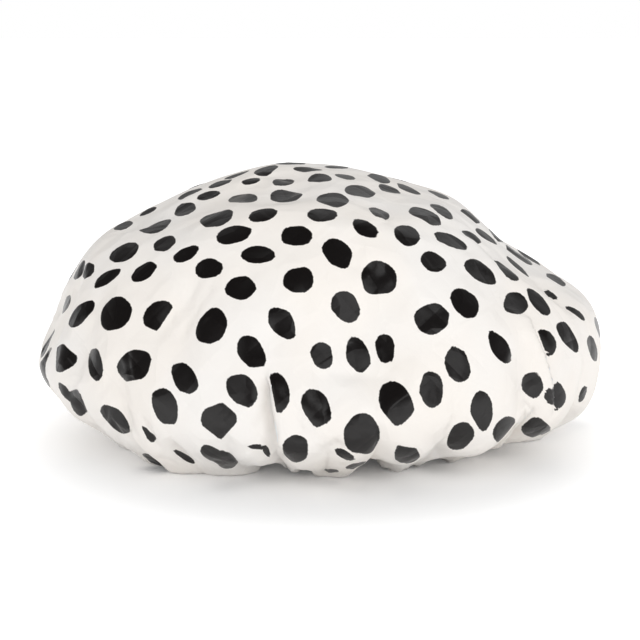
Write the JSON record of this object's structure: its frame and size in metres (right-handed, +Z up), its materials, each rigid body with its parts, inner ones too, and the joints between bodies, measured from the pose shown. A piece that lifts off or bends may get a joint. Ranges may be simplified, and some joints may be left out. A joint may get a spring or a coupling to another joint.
{
  "type": "shower cap",
  "caption": "Bouffant shower cap: a gathered, spot-printed outer shell over a waterproof lining, drawn in by an elastic hem, resting hem down.",
  "frame": {"origin": "middle of the footprint, on the surface that the cap rests on", "axes": "+Z up through the crown; the front, as pictured, faces -Y; +X is to the right of someone looking at the front and is the cap's widest direction"},
  "size_m": [0.2885, 0.2763, 0.134],
  "materials": {
    "printed_cloth": "white coated cloth with a silky gloss, printed all over with irregular black spots",
    "lining_film": "thin milky waterproof film",
    "binding_cloth": "plain white woven strip",
    "knit_elastic": "ribbed knitted elastic",
    "sewing_thread": "white polyester thread"
  },
  "bodies": {
    "root": {"outer_shell": "printed_cloth", "inner_lining": "lining_film", "hem_binding": "binding_cloth", "elastic_band": "knit_elastic"}
  },
  "joints": []
}
